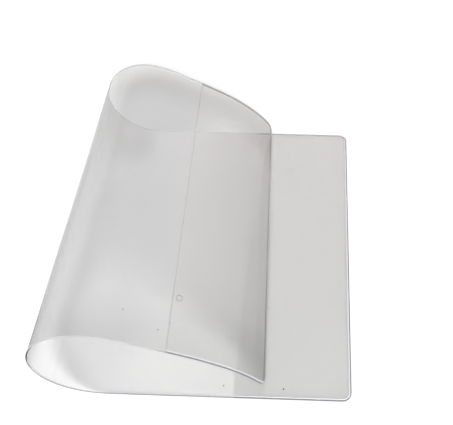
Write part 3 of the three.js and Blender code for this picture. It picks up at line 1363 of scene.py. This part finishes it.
# %% The floor
floor_colour = (0.9, 0.9, 0.9, 1)
floor_glow = 0.29
floor_radius = 6.0
floor_sides = 96
floor_gap = 0.75 * MM


def seen_directly(tree, rays):
    """1 for what the camera sees, also in a reflection or through the vinyl."""
    seen = calc(tree, "MAXIMUM", rays["Is Camera Ray"], rays["Is Glossy Ray"])
    return calc(tree, "MAXIMUM", seen, rays["Is Transmission Ray"])


def white_floor():
    material, tree, shader = new_finish("white_table")
    shader.inputs["Base Color"].default_value = floor_colour
    shader.inputs["Roughness"].default_value = 1.0
    shader.inputs["Specular IOR Level"].default_value = 0.0
    shader.inputs["Emission Color"].default_value = white
    seen = seen_directly(tree, tree.nodes.new("ShaderNodeLightPath").outputs)
    wire(tree, calc(tree, "MULTIPLY", seen, floor_glow), shader.inputs["Emission Strength"])
    return material


def build_floor():
    turns = [k / floor_sides * math.tau for k in range(floor_sides)]
    rim = [(math.cos(turn) * floor_radius, math.sin(turn) * floor_radius) for turn in turns]
    mesh = bpy.data.meshes.new("floor")
    mesh.from_pydata([(x, y, -floor_gap) for x, y in rim], [], [range(floor_sides)])
    mesh.materials.append(white_floor())
    floor = bpy.data.objects.new("floor", mesh)
    bpy.context.scene.collection.objects.link(floor)
    return floor


print("laid the", build_floor().name)

# %% [markdown]
# The light. Clear things are lit by what they reflect, so a lamp with an edge that the
# sheet can mirror would show as a bright patch. The sky is soft and even all round, and
# white behind everything for the rays that come straight from the camera or through the
# vinyl. The one key light is far and wide. It stands behind the camera, where the curl
# can't mirror it, and throws the shadow away from the camera, behind the curl.

# %% The sky
sky_heights = (0.2, 1.0)
sky_low = 0.42
sky_high = 0.42
backdrop_strength = 1.0


def sky_strength(tree):
    """The strength by height. It is level here, but the renderer samples a sky that may
    vary as it does a lamp, and the looks above were matched with that."""
    direction = tree.nodes.new("ShaderNodeTexCoord").outputs["Generated"]
    height = add_node(tree, "ShaderNodeSeparateXYZ", {"Vector": direction}).outputs["Z"]
    start, end = sky_heights
    limits = {"Value": height, "From Min": start, "From Max": end}
    strengths = {"To Min": sky_low, "To Max": sky_high}
    return add_node(tree, "ShaderNodeMapRange", {**limits, **strengths}).outputs["Result"]


def build_sky():
    world = bpy.data.worlds.new("studio")
    bpy.context.scene.world = world
    world.use_nodes = True
    tree = world.node_tree
    sky = tree.nodes["Background"]
    sky.inputs["Color"].default_value = white
    rays = tree.nodes.new("ShaderNodeLightPath").outputs
    before_table = calc(tree, "LESS_THAN", rays["Diffuse Depth"], any_bounce)
    backdrop = calc(tree, "MULTIPLY", seen_directly(tree, rays), before_table)
    strength = choose(tree, backdrop, sky_strength(tree), backdrop_strength)
    wire(tree, strength, sky.inputs["Strength"])
    return world


print("lit by the", build_sky().name)

# %% The key light
key_brightness = 0.58
key_direction = (0.26, -1.0, 0.76)
key_spread = math.radians(20)


def build_key_light(name, direction, spread, brightness):
    """A far, wide light. brightness is how bright it alone makes a white table."""
    light = bpy.data.lights.new(name, "SUN")
    light.angle = spread
    towards = Vector(direction).normalized()
    light.energy = brightness * math.pi / towards.z
    lamp = bpy.data.objects.new(name, light)
    lamp.rotation_euler = towards.to_track_quat("Z", "Y").to_euler()
    lamp.location = towards
    bpy.context.scene.collection.objects.link(lamp)
    return light


key_light = build_key_light("key_light", key_direction, key_spread, key_brightness)
print("the key light's strength is", round(key_light.energy, 2))

# %% [markdown]
# The camera stands a little less than half a metre from the cover and looks down at it at
# about fifty degrees. Its place was found by fitting the flat half's corners and the
# curl's outline, so it is kept as a distance, three angles and a shift of the picture.

# %% The camera
look_at = sheet_corner + Vector((-37.02, 147.63, 0)) * MM
camera_distance = 482.26 * MM
camera_pitch = 0.8982
camera_yaw = -0.0212
camera_roll = 0.0129
focal_pixels = 616.89
frame_size = (453, 425)
axis_pixel = (300.49, 217.66)
sensor_width = 36
clip_start = 0.01


def camera_turn():
    """The way forwards, and the turn that looks there with the picture's roll."""
    forward = Vector((
        math.sin(camera_yaw) * math.cos(camera_pitch),
        math.cos(camera_yaw) * math.cos(camera_pitch),
        -math.sin(camera_pitch),
    ))
    level = forward.cross(Vector((0, 0, 1))).normalized()
    upright = level.cross(forward)
    right = math.cos(camera_roll) * level + math.sin(camera_roll) * upright
    up = math.cos(camera_roll) * upright - math.sin(camera_roll) * level
    return forward, Matrix((right, up, -forward)).transposed()


def build_camera():
    forward, turn = camera_turn()
    lens = bpy.data.cameras.new("camera")
    lens.sensor_width = sensor_width
    lens.lens = focal_pixels / frame_size[0] * sensor_width
    lens.shift_x = (frame_size[0] / 2 - axis_pixel[0]) / frame_size[0]
    lens.shift_y = (axis_pixel[1] - frame_size[1] / 2) / frame_size[0]
    lens.clip_start = clip_start
    camera = bpy.data.objects.new("camera", lens)
    camera.matrix_world = Matrix.Translation(look_at - forward * camera_distance) @ turn.to_4x4()
    bpy.context.scene.collection.objects.link(camera)
    bpy.context.scene.camera = camera
    return lens


print("the camera's lens is", round(build_camera().lens, 1), "mm long")

# %% [markdown]
# The last settings. The colours are shown as they are written, and a ray may cross all
# the faces of the stacked vinyl before it is given up. With fewer bounces, the places with
# the most layers would turn black.

# %% The view and the bounces
ray_bounces = 40
bpy.context.scene.view_settings.view_transform = "Standard"
bpy.context.scene.cycles.max_bounces = ray_bounces
bpy.context.scene.cycles.transmission_bounces = ray_bounces
print("a ray may bounce", ray_bounces, "times")
